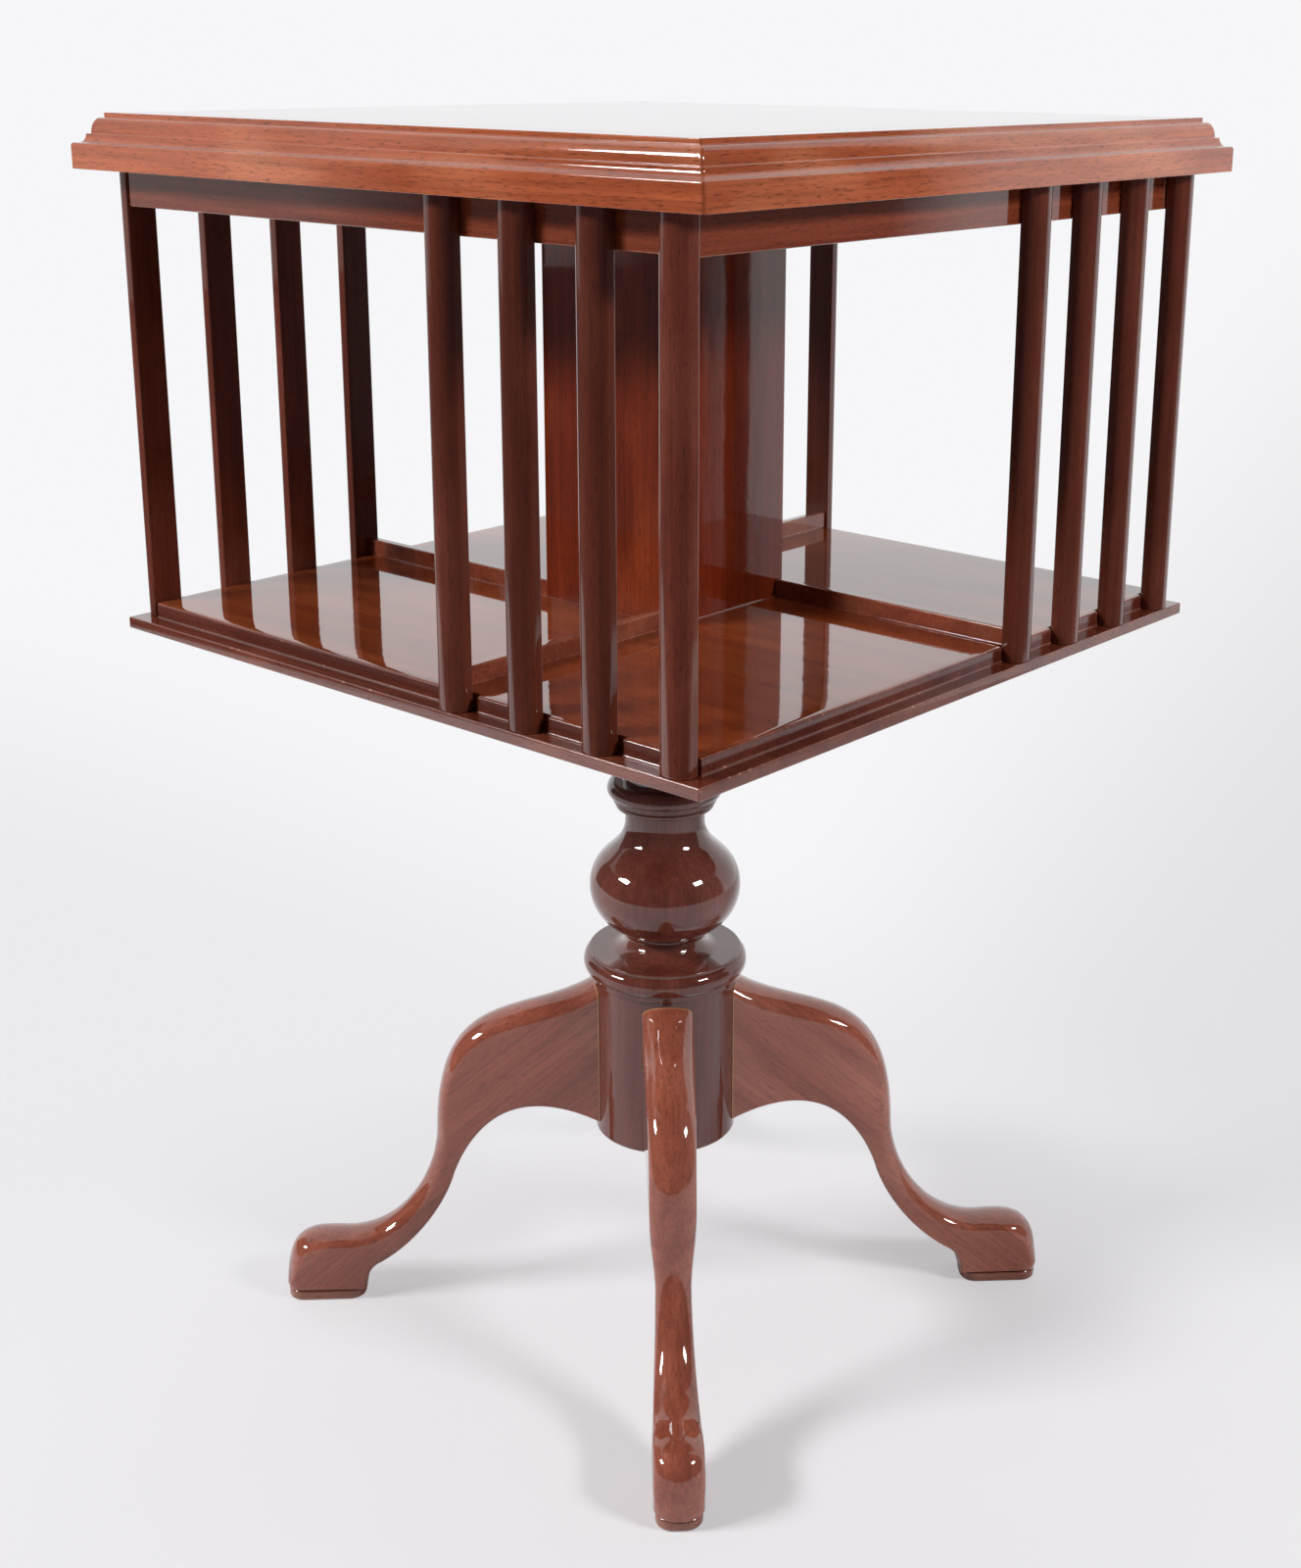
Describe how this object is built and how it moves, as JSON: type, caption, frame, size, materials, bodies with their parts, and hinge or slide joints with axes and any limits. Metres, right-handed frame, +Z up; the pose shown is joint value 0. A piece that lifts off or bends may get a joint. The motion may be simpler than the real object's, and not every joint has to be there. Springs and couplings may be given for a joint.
{
  "type": "revolving book table",
  "caption": "Square mahogany table whose slatted book tier and moulded top turn as one on a turned pillar with cabriole legs.",
  "frame": {"origin": "on the floor, on the axis that the case turns about", "axes": "+Z up along the turning axis; -Y out of the front face of the case at rest, +X out of its right face"},
  "size_m": [0.46, 0.46, 0.737],
  "materials": {
    "top_wood": "French-polished mahogany, high gloss",
    "shelf_wood": "French-polished mahogany, high gloss",
    "slat_wood": "French-polished dark mahogany, gloss",
    "column_wood": "French-polished mahogany, gloss",
    "pillar_wood": "French-polished dark mahogany, high gloss",
    "leg_wood": "French-polished mahogany, high gloss",
    "plain_wood": "bare wood, hidden",
    "steel": "turned steel",
    "brass": "turned brass"
  },
  "bodies": {
    "base": {"pillar": "pillar_wood", "leg_1": "leg_wood", "leg_2": "leg_wood", "leg_3": "leg_wood", "leg_4": "leg_wood", "foot_pad_1": "leg_wood", "foot_pad_2": "leg_wood", "foot_pad_3": "leg_wood", "foot_pad_4": "leg_wood", "spindle": "steel", "thrust_washer": "brass", "nut_washer": "steel", "spindle_nut": "steel"},
    "case": {"bearing_plate": "steel", "plate_screw_1": "steel", "plate_screw_2": "steel", "plate_screw_3": "steel", "plate_screw_4": "steel", "shelf_base": "shelf_wood", "shelf_panel": "shelf_wood", "slat_front_1": "slat_wood", "slat_front_2": "slat_wood", "slat_front_3": "slat_wood", "slat_front_4": "slat_wood", "slat_right_1": "slat_wood", "slat_right_2": "slat_wood", "slat_right_3": "slat_wood", "slat_right_4": "slat_wood", "slat_back_1": "slat_wood", "slat_back_2": "slat_wood", "slat_back_3": "slat_wood", "slat_back_4": "slat_wood", "slat_left_1": "slat_wood", "slat_left_2": "slat_wood", "slat_left_3": "slat_wood", "slat_left_4": "slat_wood", "rail_front": "top_wood", "rail_right": "top_wood", "rail_back": "top_wood", "rail_left": "top_wood", "divider_front": "shelf_wood", "divider_right": "shelf_wood", "divider_back": "shelf_wood", "divider_left": "shelf_wood", "column_front": "column_wood", "column_right": "column_wood", "column_back": "column_wood", "column_left": "column_wood", "lower_bush_block": "plain_wood", "upper_bush_block": "plain_wood", "lower_bush": "brass", "upper_bush": "brass", "top_moulding_front": "top_wood", "top_moulding_right": "top_wood", "top_moulding_back": "top_wood", "top_moulding_left": "top_wood", "top_panel": "top_wood"}
  },
  "joints": [
    {"name": "case_spin", "type": "hinge", "parent": "base", "child": "case", "pos_m": [0, 0, 0.446], "axis": [0, 0, 1], "continuous": true}
  ]
}
